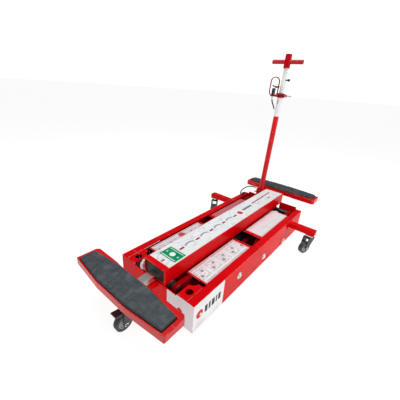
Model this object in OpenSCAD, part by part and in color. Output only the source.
// Low mobile scissor lift: a wheeled chassis tray, a pair of crossed arms and a lifting beam
// that carries a padded crossbar at each end, steered by a pull handle at the rear.
// Millimetres, +Z up, +X towards the handle. The origin is on the floor, at the chassis centre.

/* [Chassis] */
// Length of the chassis tray
chassis_l = 1100; // [920:10:1320]
// Width of the chassis tray over its side walls
chassis_w = 440; // [370:10:520]
// How far the wheel tops stand above the tray's underside
wheel_rise = 62; // [52:1:66]
// Height of the side walls
wall_h = 140; // [136:2:160]
// Sheet thickness of the tray
sheet_t = 5; // [4:0.5:6]
// Width of the inward flange on each side wall
flange_w = 37; // [30:1:38]
// How far the rear end plates stand above the side walls
end_plate_rise = 14; // [6:1:20]
// Diameter of the tie-down holes in the front corner plates
tie_hole_d = 32; // [20:1:36]
// Width of each front corner plate, from the side wall inwards
corner_plate_w = 90; // [80:1:92]
// Diameter of the pivot caps on the side walls
side_cap_d = 36; // [20:1:40]

/* [Beam] */
// Width of the lifting beam
beam_w = 123; // [116:1:126]
// Height of the beam's side cheeks
beam_h = 74; // [68:1:90]
// Plate thickness of the beam
beam_t = 6; // [5:0.5:8]
// Distance of the beam's front end from the front of the chassis
beam_front_inset = 4; // [0:1:20]
// Overhang of the beam behind the chassis
beam_rear_over = 38; // [20:1:60]
// Width of the inward lips that the top rollers run under
lip_w = 25; // [22:1:28]

/* [Scissor] */
// Distance of the end pivots from the chassis ends
pivot_inset = 45; // [40:1:70]
// Diameter of all four rollers
roller_d = 44; // [36:1:46]
// Width of a roller
roller_w = 22; // [16:1:24]
// Thickness of an arm bar
arm_t = 22; // [16:1:26]
// Depth of an arm bar
arm_depth = 44; // [36:1:46]
// Diameter of the roller shafts and pivot pins
pin_d = 28; // [20:1:34]
// Diameter of the torque shaft at the fixed arm end
torque_d = 40; // [32:1:42]
// Thickness of the roller tracks on the chassis floor
track_t = 5; // [3:1:8]
// Length of the crank that the cylinders push
crank_r = 70; // [60:1:72]
// Angle that the arms turn through from lowered to raised
lift_deg = 36; // [20:1:40]
// Distance of an arm cover's inner end from the centre
cover_in = 50; // [48:1:70]
// Distance of an arm cover's outer end from the end pivot
cover_inset = 81; // [60:1:120]

/* [Crossbars] */
// Overhang of each crossbar's centre line beyond the chassis
bar_over = 144; // [130:1:180]
// Half the length of a crossbar body
bar_half_l = 261; // [220:1:330]
// Half the length of its rubber pad
pad_half_l = 243; // [200:1:310]
// Half the width of a pad at its ends
pad_end = 33.5; // [25:0.5:45]
// Half the width of a pad over its middle third
pad_mid = 51; // [40:0.5:70]
// Half the length of the wide middle third
pad_third = 83; // [50:1:120]
// Height that the pad stands above its metal rim
pad_stand = 11; // [6:1:16]
// Height of a crossbar's metal rim
rim_h = 32; // [20:1:40]
// Width of the slide bar under each crossbar
slide_w = 36; // [26:1:56]
// Height of the slide bar
slide_h = 28; // [20:1:32]
// How far a crossbar can be pulled out
reach_extra = 80; // [20:1:120]

/* [Casters] */
// Diameter of the caster wheels
wheel_d = 76; // [60:1:90]
// Width of a wheel
wheel_w = 26; // [18:1:34]
// Trail between a caster's swivel axis and its axle
trail = 26; // [20:1:34]
// Distance of the rear caster swivels from the rear of the chassis
rear_caster_inset = 200; // [150:1:250]
// Distance of the rear caster swivels outside the side walls
rear_caster_out = 132; // [110:1:180]
// Distance of the front caster swivel in front of the chassis
front_caster_out = 128; // [110:1:150]
// Height of the outrigger tubes
outrigger_h = 28; // [20:1:32]
// Width of the outrigger tubes
outrigger_w = 42; // [30:1:50]

/* [Handle] */
// Gap between the beam and the handle's bracket
handle_gap = 4; // [2:1:20]
// Distance of the handle's pivot in front of the chassis's rear end
handle_inset = 5; // [0:1:5]
// Height of the handle's pivot above the side walls
handle_rise = 46; // [40:1:66]
// Backward lean of the handle at rest
handle_lean = 3.4; // [0:0.2:8]
// Length of the lower handle tube above its pivot
lower_tube_l = 650; // [500:10:760]
// Wall of the lower handle tube
lower_wall = 3; // [2:0.5:5]
// Outer diameter of the sliding upper tube
upper_tube_d = 27.8; // [22:0.2:34]
// Angle of the valve and its guard round the handle
guard_turn = 45; // [0:5:60]
// Height of the grip bar above the lower tube
grip_rise = 191; // [150:1:260]
// Length of the grip bar
grip_l = 190; // [160:5:300]
// Diameter of the grip bar
grip_d = 25; // [20:1:32]

/* [Hidden] */
$fn = 64;
run_fit = 0.05;
roller_gap = 0.3;
slide_gap = 0.5;
seam = 0.4;

ground_gap = wheel_d - wheel_rise;
floor_z = ground_gap + sheet_t;
wall_top = ground_gap + wall_h;
half_l = chassis_l / 2;
half_w = chassis_w / 2;
pivot_x = half_l - pivot_inset;
cover_out = pivot_x - cover_inset;
beam_front = half_l - beam_front_inset;
beam_rear = half_l + beam_rear_over;
bar_x = half_l + bar_over;
flange_in = half_w - flange_w;
track_z = floor_z + track_t;
roller_r = roller_d / 2;
pin_r = pin_d / 2;
torque_r = torque_d / 2;
base_z = track_z + roller_r + roller_gap;
beam_drop = 6;
beam_under = wall_top - beam_drop;
beam_top = beam_under + beam_h;
top_z = beam_under - roller_r - roller_gap;
mid_z = (base_z + top_z) / 2;
rest_deg = atan((top_z - mid_z) / pivot_x);
beam_half = beam_w / 2;
beam_in = beam_half - beam_t;

// Sideways stations from the beam outwards.
lip_margin = 2;
roller_y0 = beam_half - lip_w + lip_margin;
roller_y1 = roller_y0 + roller_w;
arm_a_y0 = beam_half + 18.5;
arm_a_y1 = arm_a_y0 + arm_t;
cover_y0 = beam_half + 5.5;
cover_y1 = flange_in - 3;
label_edge = 5;
base_roller_y1 = half_w - sheet_t - 13;
base_roller_y0 = base_roller_y1 - roller_w;
arm_b_y1 = base_roller_y0 - 10;
arm_b_y0 = arm_b_y1 - arm_t;
cover_t = 3;
label_t = 2;
cover_z = beam_under - label_t - cover_t;

// Crank and cylinders: the crank swings evenly to both sides of upright.
crank_half = lift_deg / 2;
crank_x = pivot_x - crank_r * sin(crank_half);
crank_z = base_z + crank_r * cos(crank_half);
crank_pin_r = 10;
lever_y0 = 10;
lever_t = 13;
yoke_y0 = lever_y0 + lever_t + 3;
yoke_t = 12;
hang_y0 = yoke_y0 + yoke_t + 4;
hang_t = 14;
hang_r = 22;
slot_low = crank_z - 1;
slot_high = base_z + crank_r + 1;
cylinder_y = 32;
cylinder_r = 28;
bore_r = 24;
rod_r = 12;
cylinder_z = floor_z + 71;
cylinder_l = 324;
crosshead_back = 51.4;
rod_show = 12;
crosshead_t = 12;
crosshead_x = crank_x - crosshead_back;
cylinder_x1 = crosshead_x - rod_show;
cylinder_x0 = cylinder_x1 - cylinder_l;
mount_t = 26;
mount_half = 64;
tank_x1 = cylinder_x0 - mount_t - 20;
tank_l = 110;
tank_half = 60;
tank_h = 93;
tank_wall = 4;
pump_l = 120;
pump_r = 30;
pump_z = floor_z + 63;
motor_half = 44;
motor_h = 33;
motor_gap = 12;
pipe_r = 5;

// Crossbars.
slide_z = beam_under + beam_t + 2;
bar_z = slide_z + slide_h;
pad_seat = bar_z + 6;
bar_rim_z = bar_z + rim_h;
pad_top = bar_rim_z + pad_stand;
rim_skin = 1;
rim_t = 4;
shoulder_out = pad_mid + 9;
shoulder_cut = 12;
slide_hold = 110;
slide_in = half_l - slide_hold - reach_extra;
guide_t = 22;
guide_inset = 15;
guide_x = beam_front - guide_inset;
guide_rear_x = beam_rear - 28;
inner_guide_x = slide_in + 20;
rear_knob_x = half_l - 80;
knob_xs = [-guide_x, rear_knob_x];
guide_xs = [-guide_x, -inner_guide_x, inner_guide_x, rear_knob_x, guide_rear_x];
knob_z = slide_z + slide_h - 8;
knob_bore_r = 6.5;
knob_r = 28;

// Casters.
rear_caster_x = half_l - rear_caster_inset;
rear_caster_y = half_w + rear_caster_out;
front_caster_x = half_l + front_caster_out;
wheel_r = wheel_d / 2;
outrigger_drop = 4;
outrigger_z = wall_top - outrigger_drop - outrigger_h;
plate_t = 6;
swivel_z = outrigger_z - plate_t;
race_h = 9;
crown_z = swivel_z - race_h;
crown_t = 5;
leg_t = 4;
leg_y = wheel_w / 2 + 4;
axle_r = 6;
kingpin_r = 8;
rear_trail_deg = 158;
pedal_x = trail - 2;
pedal_z = crown_z - crown_t - 10;
pedal_pin_r = 4;

// Handle.
tube_slip = 0.1;
upper_r = upper_tube_d / 2;
tube_bore = upper_r + tube_slip;
lower_r = tube_bore + lower_wall;
foot_bolt_r = 8;
cheek_gap = lower_r + 1.5;
cheek_t = 6;
handle_x = half_l - handle_inset;
handle_y = beam_half + handle_gap + cheek_t + cheek_gap;
handle_z = wall_top + handle_rise;
grip_s = lower_tube_l + grip_rise;
collar_s = lower_tube_l - 10;
collar_h = 24;
collar_r = lower_r + 6;
head_low = grip_s - 35;
head_high = grip_s + 41;
head_r = 19;
hoop_r = 29;
hoop_x = -collar_r - hoop_r;
hoop_t = 5;
hoop_half_t = 4;
hoop_low = collar_s + 2 + hoop_r;
hoop_high = hoop_low + 55;
lever_y = collar_r + 8;
lever_s = collar_s + collar_h / 2;
lever_pin_r = 3;
ear_x = 9;
ear_t = 5;
upper_low = lower_tube_l - 180;
socket = 10;
pin_s = lower_tube_l + 91;
trigger_x = hoop_x + 12;
trigger_s = collar_s + 58;
trigger_half = 7;
lug_gap = 0.5;
lug_t = 2.5;
lug_y = trigger_half + lug_gap;

// Route of the control hose from the handle bracket to the left flange.
hose_r = 4;
hose_out = handle_y + cheek_gap + cheek_t + 9.5;
hose_in = half_w - 19;
hose_x = handle_x + 18;
hose_top = handle_z + 6;
hose_route = [
    [hose_x, hose_out, hose_top], [hose_x - 3, hose_out + 16, hose_top + 3],
    [hose_x - 8, hose_in - 43, hose_top + 6], [hose_x - 15, hose_in - 27, hose_top + 7],
    [hose_x - 27, hose_in - 15, hose_top + 6], [hose_x - 45, hose_in - 7, hose_top + 4],
    [hose_x - 65, hose_in - 3, hose_top + 1], [hose_x - 85, hose_in - 1, hose_top - 3],
    [hose_x - 103, hose_in, hose_top - 10], [hose_x - 113, hose_in, hose_top - 20],
    [hose_x - 113, hose_in, wall_top + 22], [hose_x - 106, hose_in, wall_top + 14],
    [hose_x - 96, hose_in, wall_top + 10], [hose_x - 85, hose_in, wall_top + 9]];
// Route of the valve hose down the handle, in handle coordinates.
valve_s = collar_s + 2;
valve_route = [
    [hoop_x, 0, valve_s], [hoop_x, 0, valve_s - 12], [hoop_x + 3, 0, valve_s - 28],
    [hoop_x + 9, 0, valve_s - 40], [hoop_x + 16, 0, valve_s - 52],
    [hoop_x + 22, 0, valve_s - 64], [hoop_x + 28, 0, valve_s - 75],
    [-lower_r - 1, 0, valve_s - 83]];

// --- Small shared shapes ---

// A plate drawn in the X-Z plane and given a thickness from y0 to y1.
module plate_xz(points, y0, y1) {
    translate([0, y1, 0])
        rotate([90, 0, 0])
            linear_extrude(height = y1 - y0)
                polygon(points);
}

// A round bar along Y.
module bar_y(x, z, r, y0, y1) {
    translate([x, y1, z])
        rotate([90, 0, 0])
            cylinder(h = y1 - y0, r = r);
}

// A round bar along X.
module bar_x_dir(y, z, r, x0, x1) {
    translate([x0, y, z])
        rotate([0, 90, 0])
            cylinder(h = x1 - x0, r = r);
}

// A block given by its low and high corners.
module block(low, high) {
    translate(low)
        cube(high - low);
}

// The same piece on the right and on the left.
module both_sides() {
    children();
    mirror([0, 1, 0])
        children();
}

// Ring of points round a route point, square to the route.
function unit(v) = v / norm(v);
function heading(path, i) =
    i == 0 ? unit(path[1] - path[0]) :
    i == len(path) - 1 ? unit(path[i] - path[i - 1]) :
    unit(path[i + 1] - path[i - 1]);
function ring(path, i, r, n, side) =
    let (t = heading(path, i))
    let (u = unit(cross(side, t)))
    let (v = cross(t, u))
    [for (k = [0 : n - 1]) path[i] + r * (cos(360 * k / n) * u + sin(360 * k / n) * v)];

// A round hose swept along a list of points; side is a direction that the route never takes.
module hose(path, r, side, n = 10) {
    rings = len(path);
    points = [for (i = [0 : rings - 1]) each ring(path, i, r, n, side)];
    walls = [for (i = [0 : rings - 2], k = [0 : n - 1], half = [0, 1])
        half == 0 ? [i * n + k, (i + 1) * n + k, (i + 1) * n + (k + 1) % n]
                  : [i * n + k, (i + 1) * n + (k + 1) % n, i * n + (k + 1) % n]];
    near_end = [for (k = [0 : n - 1]) k];
    far_end = [for (k = [n - 1 : -1 : 0]) (rings - 1) * n + k];
    polyhedron(points = points, faces = concat(walls, [near_end, far_end]), convexity = 4);
}

// --- Chassis ---

// Folded tray; its front wall is lower in the middle, under the beam.
module chassis_tray() {
    front_top = beam_under - 1;
    color("red") {
        block([-half_l, -half_w, ground_gap], [half_l - sheet_t - seam, half_w, floor_z]);
        block([-half_l, -half_w, floor_z], [-half_l + sheet_t, half_w, front_top]);
        both_sides() {
            block([-half_l, half_w - corner_plate_w, front_top],
                [-half_l + sheet_t, half_w, wall_top]);
            block([-half_l, half_w - sheet_t, floor_z], [half_l, half_w, wall_top]);
            block([-half_l, flange_in, wall_top - sheet_t], [half_l, half_w, wall_top]);
        }
    }
}

module rear_end_plates() {
    plate_in = beam_half + 4.5;
    color("red")
        both_sides()
            difference() {
                block([half_l - sheet_t, plate_in, ground_gap],
                    [half_l, half_w - sheet_t - seam, wall_top + end_plate_rise]);
                block([half_l - sheet_t - 1, flange_in - seam, wall_top - sheet_t - seam],
                    [half_l + 1, half_w, wall_top + end_plate_rise + 1]);
            }
}

module front_corner_plates() {
    plate_x0 = -half_l + sheet_t + seam;
    plate_x1 = -half_l + 100;
    plate_y1 = flange_in - seam;
    plate_y0 = half_w - corner_plate_w;
    color("red")
        both_sides()
            difference() {
                block([plate_x0, plate_y0, wall_top - sheet_t], [plate_x1, plate_y1, wall_top]);
                translate([plate_x1 + 6, plate_y0 - 6, wall_top - sheet_t - 1])
                    cylinder(h = sheet_t + 2, r = 34);
                translate([-pivot_x, tie_hole_y(), wall_top - sheet_t - 1])
                    cylinder(h = sheet_t + 2, d = tie_hole_d);
            }
}

function tie_hole_y() = half_w - corner_plate_w / 2 - 18;

module roller_tracks() {
    track_over = 30;
    track_l = 285;
    track_side = 3;
    color("silver")
        both_sides()
            block([-pivot_x - track_over, base_roller_y0 - track_side, floor_z],
                [-pivot_x + track_l, base_roller_y1 + track_side, track_z]);
}

module base_brackets() {
    bracket_half = 34;
    bracket_t = 14;
    ring_r = base_z - floor_z - roller_gap;
    color("darkred")
        both_sides()
            for (y = [lever_y0 + lever_t + 21, arm_a_y1 + 6])
                difference() {
                    union() {
                        block([pivot_x - bracket_half, y, floor_z],
                            [pivot_x + bracket_half, y + bracket_t, base_z]);
                        bar_y(pivot_x, base_z, ring_r, y, y + bracket_t);
                    }
                    bar_y(pivot_x, base_z, torque_r + run_fit, y - 1, y + bracket_t + 1);
                }
}

module side_caps() {
    cap_t = 6;
    cap_step = 3;
    step_in = 5;
    stations = [[-227, floor_z + 77], [29, floor_z + 45], [300, floor_z + 17]];
    color("silver")
        both_sides()
            for (p = stations) {
                bar_y(p[0], p[1], side_cap_d / 2, half_w, half_w + cap_t);
                bar_y(p[0], p[1], side_cap_d / 2 - step_in, half_w + cap_t,
                    half_w + cap_t + cap_step);
            }
}

module cylinder_mount() {
    color("darkred")
        block([cylinder_x0 - mount_t, -mount_half, floor_z],
            [cylinder_x0, mount_half, cylinder_z + 27]);
}

module cylinder_at(y) {
    base_t = 14;
    gland_t = 22;
    difference() {
        bar_x_dir(y, cylinder_z, cylinder_r, cylinder_x0, cylinder_x1);
        bar_x_dir(y, cylinder_z, bore_r, cylinder_x0 + base_t, cylinder_x1 - gland_t);
        bar_x_dir(y, cylinder_z, rod_r + run_fit, cylinder_x1 - gland_t - 1, cylinder_x1 + 1);
    }
}

module cylinders() {
    color("dimgray") {
        cylinder_at(cylinder_y);
        cylinder_at(-cylinder_y);
    }
}

// Oil tank with the air-driven pump in front of it.
module power_unit() {
    tank_x0 = tank_x1 - tank_l;
    color("dimgray") {
        difference() {
            block([tank_x0, -tank_half, floor_z], [tank_x1, tank_half, floor_z + tank_h]);
            block([tank_x0 + tank_wall, -tank_half + tank_wall, floor_z + tank_wall],
                [tank_x1 - tank_wall, tank_half - tank_wall, floor_z + tank_h - tank_wall]);
        }
        block([tank_x0 - motor_gap - pump_l, -motor_half, floor_z],
            [tank_x0 - motor_gap, motor_half, floor_z + motor_h]);
        bar_x_dir(0, pump_z, pump_r, tank_x0 - pump_l, tank_x0);
    }
}

module pressure_pipes() {
    color("silver")
        both_sides()
            bar_x_dir(cylinder_y, cylinder_z, pipe_r, tank_x1, cylinder_x0 - mount_t);
}

module outrigger_tube(length) {
    half = outrigger_w / 2;
    wall = 4;
    difference() {
        block([0, -half, outrigger_z], [length, half, outrigger_z + outrigger_h]);
        block([-1, -half + wall, outrigger_z + wall],
            [length - wall, half - wall, outrigger_z + outrigger_h - wall]);
    }
}

// Square tubes that carry the casters, with a pad plate where each one meets the tray.
module outriggers() {
    side_l = rear_caster_out + 26;
    front_l = front_caster_out + 24;
    plate_half = outrigger_w / 2 + 8;
    color("red") {
        both_sides() {
            translate([rear_caster_x, half_w, 0])
                rotate([0, 0, 90])
                    outrigger_tube(side_l);
            block([rear_caster_x - plate_half, half_w, outrigger_z - 12],
                [rear_caster_x + plate_half, half_w + 4, wall_top - 1]);
        }
        translate([-half_l, 0, 0])
            mirror([1, 0, 0])
                outrigger_tube(front_l);
    }
}

// --- Casters ---

// The fixed plate of a caster with its kingpin, at a swivel axis.
module caster_plate(x, y) {
    translate([x, y, 0]) {
        block([-27, -21, swivel_z], [27, 21, outrigger_z]);
        translate([0, 0, crown_z - 2])
            cylinder(h = swivel_z - crown_z + 2, r = kingpin_r);
    }
}

module caster_plates() {
    color("silver") {
        caster_plate(-front_caster_x, 0);
        both_sides()
            caster_plate(rear_caster_x, rear_caster_y);
    }
}

// The turning fork of a caster, trailing towards +X before it is turned.
module caster_fork() {
    leg_half = 15;
    difference() {
        union() {
            translate([0, 0, crown_z])
                cylinder(h = race_h - roller_gap, r = 22);
            block([-20, -leg_y - leg_t, crown_z - crown_t], [trail + 4, leg_y + leg_t, crown_z]);
            both_sides()
                plate_xz([[-20, crown_z - crown_t], [trail + 4, crown_z - crown_t],
                    [trail + leg_half - 3, wheel_r], [trail + 8, wheel_r - 12],
                    [trail - 8, wheel_r - 12], [trail - leg_half, wheel_r + 4]],
                    leg_y, leg_y + leg_t);
        }
        translate([0, 0, crown_z - crown_t - 1])
            cylinder(h = 30, r = kingpin_r + run_fit);
        bar_y(pedal_x, pedal_z, pedal_pin_r + run_fit, -leg_y - leg_t - 1, leg_y + leg_t + 1);
    }
    bar_y(trail, wheel_r, axle_r, -leg_y - leg_t - 4, leg_y + leg_t + 4);
}

// A caster wheel: tyre tread and hub in one, running on the fork's axle.
module caster_wheel() {
    difference() {
        bar_y(trail, wheel_r, wheel_r, -wheel_w / 2, wheel_w / 2);
        both_sides()
            bar_y(trail, wheel_r, wheel_r - 11, wheel_w / 2 - 4, wheel_w / 2 + 1);
        bar_y(trail, wheel_r, axle_r + run_fit, -wheel_w, wheel_w);
    }
}

module front_place() {
    translate([-front_caster_x, 0, 0])
        rotate([0, 0, 180])
            children();
}

module right_place() {
    translate([rear_caster_x, -rear_caster_y, 0])
        rotate([0, 0, rear_trail_deg])
            children();
}

module left_place() {
    mirror([0, 1, 0])
        right_place()
            children();
}

module front_caster_fork() {
    color("dimgray")
        front_place()
            caster_fork();
}

module front_caster_wheel() {
    color("darkslategray")
        front_place()
            caster_wheel();
}

module brake_pedal() {
    color("black")
        front_place() {
            plate_xz([[pedal_x - 8, pedal_z - 6], [pedal_x + 20, pedal_z - 8],
                [pedal_x + 42, pedal_z + 7], [pedal_x + 41, pedal_z + 12],
                [pedal_x + 10, pedal_z + 7], [pedal_x - 8, pedal_z + 6]],
                -leg_y + 1, leg_y - 1);
            bar_y(pedal_x, pedal_z, pedal_pin_r, -leg_y - leg_t, leg_y + leg_t);
        }
}

module left_caster_fork() {
    color("dimgray")
        left_place()
            caster_fork();
}

module left_caster_wheel() {
    color("darkslategray")
        left_place()
            caster_wheel();
}

module right_caster_fork() {
    color("dimgray")
        right_place()
            caster_fork();
}

module right_caster_wheel() {
    color("darkslategray")
        right_place()
            caster_wheel();
}

// --- Scissor arms ---

// One arm bar from its low rear end to its high front end, with its bores.
module arm_bar(y0, y1, low_r, mid_r, high_r) {
    half_d = arm_depth / 2;
    up = [sin(rest_deg), cos(rest_deg)] * half_d;
    low_end = [pivot_x, base_z];
    high_end = [-pivot_x, top_z];
    mid_end = [-cover_in - 18, mid_z];
    difference() {
        union() {
            plate_xz([low_end - up, high_end - up, high_end + up, [-cover_out - 1, cover_z],
                [-cover_in - 18, cover_z], mid_end + up + [30, -2], low_end + up], y0, y1);
            bar_y(pivot_x, base_z, low_r + 2, y0, y1);
            bar_y(-pivot_x, top_z, half_d - 0.2, y0, y1);
        }
        bar_y(pivot_x, base_z, low_r, y0 - 1, y1 + 1);
        bar_y(0, mid_z, mid_r, y0 - 1, y1 + 1);
        bar_y(-pivot_x, top_z, high_r, y0 - 1, y1 + 1);
    }
}

// Folded cover on an arm's rising half, at the front.
module arm_cover() {
    skirt_t = 2;
    skirt_h = 9;
    block([-cover_out, cover_y0, cover_z], [-cover_in, cover_y1, cover_z + cover_t]);
    block([-cover_out, cover_y0, cover_z - skirt_h], [-cover_in, cover_y0 + skirt_t, cover_z]);
    block([-cover_out, cover_y1 - skirt_t, cover_z - skirt_h], [-cover_in, cover_y1, cover_z]);
}

module arm_label() {
    block([-cover_out + label_edge + 2, cover_y0 + label_edge, cover_z + cover_t],
        [-cover_in - 20, cover_y1 - label_edge, beam_under]);
}

module arm_a_bars() {
    color("red")
        both_sides()
            arm_bar(arm_a_y0, arm_a_y1, torque_r, pin_r, pin_r);
}

module arm_a_covers() {
    color("red")
        both_sides()
            arm_cover();
}

module front_labels() {
    color("white")
        both_sides()
            arm_label();
}

module torque_shaft() {
    color("silver")
        bar_y(pivot_x, base_z, torque_r, -arm_a_y1 - 24, arm_a_y1 + 24);
}

// Two crank levers on the torque shaft and the pin that the crosshead pushes.
module cranks() {
    tip_r = 18;
    boss_r = (torque_r + base_z - floor_z) / 2;
    color("darkred") {
        both_sides()
            difference() {
                union() {
                    bar_y(pivot_x, base_z, boss_r, lever_y0, lever_y0 + lever_t);
                    bar_y(crank_x, crank_z, tip_r, lever_y0, lever_y0 + lever_t);
                    plate_xz([[pivot_x - torque_r, base_z], [pivot_x + torque_r, base_z + 12],
                        [crank_x + tip_r - 1, crank_z + 5], [crank_x - tip_r + 1, crank_z - 5]],
                        lever_y0, lever_y0 + lever_t);
                }
                bar_y(pivot_x, base_z, torque_r, lever_y0 - 1, lever_y0 + lever_t + 1);
            }
        bar_y(crank_x, crank_z, crank_pin_r, -yoke_y0 - yoke_t - 2, yoke_y0 + yoke_t + 2);
    }
}

module centre_pins() {
    color("silver")
        both_sides() {
            bar_y(0, mid_z, pin_r, arm_a_y0 - 4, arm_b_y1 + 4);
            difference() {
                bar_y(0, mid_z, pin_r + 8, arm_a_y1, arm_b_y0 - 0.5);
                bar_y(0, mid_z, pin_r, arm_a_y1 - 1, arm_b_y0 + 1);
            }
        }
}

module top_roller_shaft() {
    color("silver") {
        bar_y(-pivot_x, top_z, pin_r, -arm_a_y1 - 3, arm_a_y1 + 3);
        both_sides()
            difference() {
                bar_y(-pivot_x, top_z, pin_r + 4, roller_y1 + 0.5, arm_a_y0);
                bar_y(-pivot_x, top_z, pin_r, roller_y1 - 1, arm_a_y0 + 1);
            }
    }
}

module roller(x, z, y0) {
    difference() {
        bar_y(x, z, roller_r, y0, y0 + roller_w);
        bar_y(x, z, pin_r + run_fit, y0 - 1, y0 + roller_w + 1);
    }
}

module top_rollers() {
    color("silver")
        both_sides()
            roller(-pivot_x, top_z, roller_y0);
}

module arm_b_bars() {
    color("darkred")
        both_sides()
            mirror([1, 0, 0])
                arm_bar(arm_b_y0, arm_b_y1, pin_r, pin_r + run_fit, pin_r + run_fit);
}

module arm_b_covers() {
    color("red")
        both_sides()
            mirror([1, 0, 0])
                arm_cover();
}

module rear_labels() {
    color("white")
        both_sides()
            mirror([1, 0, 0])
                arm_label();
}

module base_roller_shaft() {
    color("silver")
        bar_y(-pivot_x, base_z, pin_r, -base_roller_y1 - 3, base_roller_y1 + 3);
}

module base_rollers() {
    color("silver")
        both_sides()
            roller(-pivot_x, base_z, base_roller_y0);
}

// --- Lifting drive ---

// Cross plate on the two rods, with a slotted yoke that takes the crank pin.
module crosshead() {
    low = base_z + 30;
    high = cylinder_z + 22;
    plate_half = 62;
    slot_r = crank_pin_r + roller_gap;
    yoke_margin = 12;
    color("dimgray") {
        difference() {
            block([crosshead_x, -plate_half, low], [crosshead_x + crosshead_t, plate_half, high]);
            both_sides()
                bar_x_dir(cylinder_y, cylinder_z, rod_r, crosshead_x - 1, crosshead_x + crosshead_t + 1);
        }
        both_sides()
            difference() {
                block([crosshead_x + crosshead_t, yoke_y0, slot_low - slot_r - yoke_margin],
                    [crank_x + slot_r + yoke_margin, yoke_y0 + yoke_t, slot_high + slot_r + 10]);
                bar_y(crank_x, slot_low, slot_r, 0, plate_half);
                bar_y(crank_x, slot_high, slot_r, 0, plate_half);
                block([crank_x - slot_r, 0, slot_low], [crank_x + slot_r, plate_half, slot_high]);
            }
    }
}

module cylinder_rods() {
    piston_x = cylinder_x1 - 200;
    color("silver")
        both_sides() {
            bar_x_dir(cylinder_y, cylinder_z, rod_r, piston_x, crosshead_x + crosshead_t);
            bar_x_dir(cylinder_y, cylinder_z, bore_r - tube_slip, piston_x - 20, piston_x);
        }
}

// --- Beam ---

// Channel with inward lips, and two plates under it that hold the rear arm pins.
module beam() {
    color("red")
        difference() {
            union() {
                block([-beam_front, -beam_half, beam_top - beam_t], [beam_rear, beam_half, beam_top]);
                both_sides() {
                    block([-beam_front, beam_in, beam_under], [beam_rear, beam_half, beam_top - beam_t]);
                    block([-beam_front, beam_half - lip_w, beam_under],
                        [beam_rear, beam_in, beam_under + beam_t]);
                    bar_y(pivot_x, top_z, hang_r, hang_y0, hang_y0 + hang_t);
                    block([pivot_x - hang_r, hang_y0, top_z],
                        [pivot_x + hang_r, hang_y0 + hang_t, beam_under]);
                }
            }
            bar_y(pivot_x, top_z, pin_r, -hang_y0 - hang_t - 1, hang_y0 + hang_t + 1);
            for (x = knob_xs)
                bar_y(x, knob_z, knob_bore_r, beam_in - 1, beam_half + 1);
        }
}

module beam_pins() {
    color("silver")
        both_sides()
            bar_y(pivot_x, top_z, pin_r, hang_y0, arm_b_y1 + 5);
}

module slide_guides() {
    half_s = slide_w / 2 + slide_gap;
    color("darkred")
        for (x = guide_xs)
            difference() {
                block([x - guide_t / 2, -beam_in, beam_under + beam_t],
                    [x + guide_t / 2, beam_in, beam_top - beam_t]);
                block([x - guide_t, -half_s, slide_z - slide_gap],
                    [x + guide_t, half_s, slide_z + slide_h + slide_gap]);
                for (k = knob_xs)
                    bar_y(k, knob_z, knob_bore_r, 0, beam_half);
            }
}

// A clamping knob on the beam's left cheek whose screw bears on the slide bar.
module clamp_knob(x) {
    knob_t = 16;
    knob_gap = 2;
    dish_t = 4;
    face_y = beam_half + knob_gap + knob_t;
    bar_y(x, knob_z, knob_bore_r - 0.5, slide_w / 2 + roller_gap, beam_half + knob_gap);
    difference() {
        bar_y(x, knob_z, knob_r, beam_half + knob_gap, face_y);
        bar_y(x, knob_z, knob_r - 7, face_y - dish_t, face_y + 1);
    }
}

module front_clamp_knob() {
    color("silver")
        clamp_knob(-guide_x);
}

module rear_clamp_knob() {
    color("silver")
        clamp_knob(rear_knob_x);
}

// --- Crossbars ---

// Outline of a crossbar or pad: a wide middle third and tapering ends.
function bar_outline(grow, half_length) = [
    [-pad_end - grow, -half_length], [pad_end + grow, -half_length],
    [pad_mid + grow, -pad_third], [pad_mid + grow, pad_third],
    [pad_end + grow, half_length], [-pad_end - grow, half_length],
    [-pad_mid - grow, pad_third], [-pad_mid - grow, -pad_third]];

module bar_prism(grow, half_length, z0, z1) {
    translate([0, 0, z0])
        linear_extrude(height = z1 - z0)
            polygon(bar_outline(grow, half_length));
}

// Metal body under a pad, squared off towards +X, with the seat cut into its top.
module bar_body() {
    color("red")
        difference() {
            union() {
                bar_prism(rim_t + rim_skin, bar_half_l, bar_z, bar_rim_z);
                for (side = [-1, 1])
                    translate([0, 0, bar_z])
                        linear_extrude(height = rim_h)
                            polygon(shoulder_outline(side));
            }
            bar_prism(rim_skin, pad_half_l + rim_skin, pad_seat, bar_rim_z + 1);
        }
}

// Outline of the shoulder that fills the inner side of one tapering end.
function shoulder_outline(side) = [
    [0, side * pad_third], [pad_mid + rim_t, side * pad_third],
    [shoulder_out, side * (pad_third + 45)], [shoulder_out, side * (bar_half_l - shoulder_cut)],
    [shoulder_out - shoulder_cut, side * bar_half_l], [0, side * bar_half_l]];

module bar_pad() {
    color("dimgray")
        bar_prism(0, pad_half_l, pad_seat, pad_top);
}

// Slide bar of the front crossbar, from under its middle into the beam.
module bar_slide() {
    slide_tip = 30;
    color("silver")
        block([-bar_x - slide_tip, -slide_w / 2, slide_z], [-slide_in, slide_w / 2, slide_z + slide_h]);
}

module front_bar() {
    translate([-bar_x, 0, 0])
        bar_body();
}

module front_pad() {
    translate([-bar_x, 0, 0])
        bar_pad();
}

module front_slide() {
    bar_slide();
}

module rear_bar() {
    translate([bar_x, 0, 0])
        mirror([1, 0, 0])
            bar_body();
}

module rear_pad() {
    translate([bar_x, 0, 0])
        bar_pad();
}

module rear_slide() {
    mirror([1, 0, 0])
        bar_slide();
}

// --- Handle ---

// Places a piece drawn upright on the handle's pivot into the leaning handle.
module on_handle() {
    translate([handle_x, handle_y, handle_z])
        rotate([0, handle_lean, 0])
            children();
}

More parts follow.
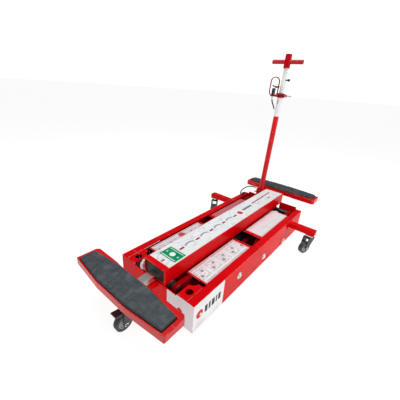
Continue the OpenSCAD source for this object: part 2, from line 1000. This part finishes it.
module handle_bracket() {
    plate_x = half_l + seam;
    back_t = 5;
    cheek_l = 26;
    low = wall_top - 54;
    high = handle_z + 24;
    notch = wall_top + end_plate_rise + 4;
    outline = [[plate_x, low], [plate_x + cheek_l, low], [plate_x + cheek_l, handle_z + 10],
        [handle_x + 12, high], [handle_x - 22, high],
        [handle_x - 22, notch], [plate_x, notch]];
    color("red")
        difference() {
            union() {
                plate_xz(outline, handle_y - cheek_gap - cheek_t, handle_y - cheek_gap);
                plate_xz(outline, handle_y + cheek_gap, handle_y + cheek_gap + cheek_t);
                block([plate_x, handle_y - cheek_gap, low],
                    [plate_x + back_t, handle_y + cheek_gap, wall_top + end_plate_rise]);
            }
            bar_y(handle_x, handle_z, foot_bolt_r, 0, 2 * handle_y);
        }
}

module handle_pivot_bolt() {
    y0 = handle_y - cheek_gap - cheek_t;
    y1 = handle_y + cheek_gap + cheek_t;
    color("silver") {
        bar_y(handle_x, handle_z, foot_bolt_r, y0, y1);
        bar_y(handle_x, handle_z, foot_bolt_r + 4, y1, y1 + 8);
    }
}

inlet_r = 6;
inlet_x = half_l + 14;
inlet_z = handle_z - 22;
inlet_y = handle_y + cheek_gap + cheek_t;

module air_inlet() {
    color("goldenrod") {
        bar_y(inlet_x, inlet_z, 9, inlet_y, inlet_y + 10);
        bar_y(inlet_x, inlet_z, inlet_r, inlet_y + 10, inlet_y + 32);
    }
}

module control_hose() {
    color("black")
        hose(hose_route, hose_r, [1, 1, 1]);
}

module hose_fittings() {
    start = hose_route[0];
    finish = hose_route[len(hose_route) - 1];
    color("dimgray") {
        bar_y(start[0], start[2], hose_r + 2.5, inlet_y, start[1]);
        translate([finish[0], finish[1], wall_top])
            block([0, -7, 0], [22, 7, 16]);
    }
}

// Lower tube with the round foot that turns on the pivot bolt.
module lower_tube() {
    foot_half = lower_r + 1;
    foot_h = 46;
    color("red")
        on_handle()
            difference() {
                union() {
                    bar_y(0, 0, lower_r, -foot_half, foot_half);
                    cylinder(h = lower_tube_l, r = lower_r);
                }
                translate([0, 0, foot_h])
                    cylinder(h = lower_tube_l, r = tube_bore);
                bar_y(0, 0, foot_bolt_r + run_fit, -2 * foot_half, 2 * foot_half);
            }
}

// Places a piece drawn beside the handle towards -X into the turned guard's place.
module on_guard() {
    on_handle()
        rotate([0, 0, -guard_turn])
            children();
}

// Clamp collar at the top of the lower tube, with the lever's ears and the valve guard hoop.
module handle_head() {
    arm_low = collar_s + 2;
    color("darkred")
        on_handle() {
            difference() {
                union() {
                    translate([0, 0, collar_s])
                        cylinder(h = collar_h, r = collar_r);
                    both_ears();
                    rotate([0, 0, -guard_turn])
                        block([hoop_x - 12, -8, arm_low], [-collar_r + 3, 8, arm_low + 10]);
                }
                translate([0, 0, collar_s - 1])
                    cylinder(h = lower_tube_l - collar_s + 1, r = lower_r);
                translate([0, 0, collar_s])
                    cylinder(h = collar_h + 1, r = tube_bore);
                bar_x_dir(-lever_y, lever_s, lever_pin_r + run_fit, -30, 30);
            }
            rotate([0, 0, -guard_turn]) {
                difference() {
                    stadium(hoop_r, hoop_half_t);
                    stadium(hoop_r - hoop_t, hoop_half_t + 1);
                    block([hoop_x - 12, -8, arm_low], [hoop_x + 12, 8, arm_low + 10]);
                }
                trigger_lugs();
            }
        }
}

// Two lugs on the hoop that hold the trigger's pin.
module trigger_lugs() {
    lug_h = 5;
    lug_x = -collar_r - hoop_t;
    reach = lug_y + lug_t;
    both_sides()
        difference() {
            union() {
                block([trigger_x - lug_h, lug_y, trigger_s - lug_h],
                    [lug_x + hoop_t, reach, trigger_s + lug_h]);
                block([lug_x + 1, hoop_half_t, trigger_s - lug_h],
                    [lug_x + hoop_t, reach, trigger_s + lug_h]);
            }
            bar_y(trigger_x, trigger_s, lever_pin_r + run_fit, 0, 2 * reach);
        }
}

// Two ears on the collar that hold the clamp lever.
module both_ears() {
    for (x = [-ear_x - ear_t, ear_x])
        block([x, -lever_y - 5, collar_s + 4], [x + ear_t, -collar_r + 6, collar_s + collar_h - 4]);
}

// Upright round-ended outline of the guard hoop, with half its thickness.
module stadium(r, half_t) {
    bar_y(hoop_x, hoop_low, r, -half_t, half_t);
    bar_y(hoop_x, hoop_high, r, -half_t, half_t);
    block([hoop_x - r, -half_t, hoop_low], [hoop_x + r, half_t, hoop_high]);
}

module upper_tube() {
    wall = 2.5;
    color("lightgray")
        on_handle()
            translate([0, 0, upper_low])
                difference() {
                    cylinder(h = head_low + socket - upper_low, r = upper_r);
                    translate([0, 0, -1])
                        cylinder(h = head_low - upper_low, r = upper_r - wall);
                }
}

module grip_head() {
    color("red")
        on_handle()
            difference() {
                translate([0, 0, head_low])
                    cylinder(h = head_high - head_low, r = head_r);
                bar_y(0, grip_s, grip_d / 2, -2 * head_r, 2 * head_r);
                translate([0, 0, head_low - 1])
                    cylinder(h = socket + 1, r = upper_r);
            }
}

module grip_bar() {
    color("red")
        on_handle()
            bar_y(0, grip_s, grip_d / 2, -grip_l / 2, grip_l / 2);
}

module spring_pin() {
    stem_l = 12;
    color("black")
        on_handle() {
            bar_y(0, pin_s, 4, -upper_r - stem_l, -upper_r + 1);
            bar_y(0, pin_s, 7, -upper_r - 2 * stem_l, -upper_r - stem_l);
        }
}

module clamp_lever() {
    color("silver")
        on_handle() {
            bar_x_dir(-lever_y, lever_s, 6, -ear_x + roller_gap, ear_x - roller_gap);
            bar_x_dir(-lever_y, lever_s, lever_pin_r, -ear_x - ear_t, ear_x + ear_t);
            block([-5, -lever_y - 38, lever_s - 3], [5, -lever_y, lever_s + 3]);
        }
}

module valve_body() {
    color("black")
        on_guard() {
            translate([hoop_x, 0, collar_s + 12])
                cylinder(h = 36, r = 11);
            translate([hoop_x, 0, collar_s + 48])
                cylinder(h = 3, r = 5);
        }
}

module valve_trigger() {
    color("black")
        on_guard() {
            plate_xz([[trigger_x, trigger_s - 3], [trigger_x, trigger_s + 3],
                [hoop_x - 4, trigger_s + 5], [hoop_x - 12, trigger_s + 10],
                [hoop_x - 14, trigger_s + 7], [hoop_x - 5, trigger_s]],
                -trigger_half, trigger_half);
            bar_y(trigger_x, trigger_s, lever_pin_r, -lug_y - lug_t, lug_y + lug_t);
        }
}

module valve_hose() {
    color("midnightblue")
        on_guard()
            hose(valve_route, hose_r, [0, 1, 0]);
}

chassis_tray();
rear_end_plates();
front_corner_plates();
roller_tracks();
base_brackets();
side_caps();
cylinder_mount();
cylinders();
power_unit();
pressure_pipes();
outriggers();
caster_plates();
handle_bracket();
handle_pivot_bolt();
air_inlet();
control_hose();
hose_fittings();
arm_a_bars();
arm_a_covers();
front_labels();
torque_shaft();
cranks();
centre_pins();
top_roller_shaft();
top_rollers();
arm_b_bars();
arm_b_covers();
rear_labels();
base_roller_shaft();
base_rollers();
crosshead();
cylinder_rods();
beam();
beam_pins();
slide_guides();
front_clamp_knob();
rear_clamp_knob();
front_bar();
front_pad();
front_slide();
rear_bar();
rear_pad();
rear_slide();
front_caster_fork();
front_caster_wheel();
brake_pedal();
left_caster_fork();
left_caster_wheel();
right_caster_fork();
right_caster_wheel();
lower_tube();
handle_head();
upper_tube();
grip_head();
grip_bar();
spring_pin();
clamp_lever();
valve_body();
valve_trigger();
valve_hose();
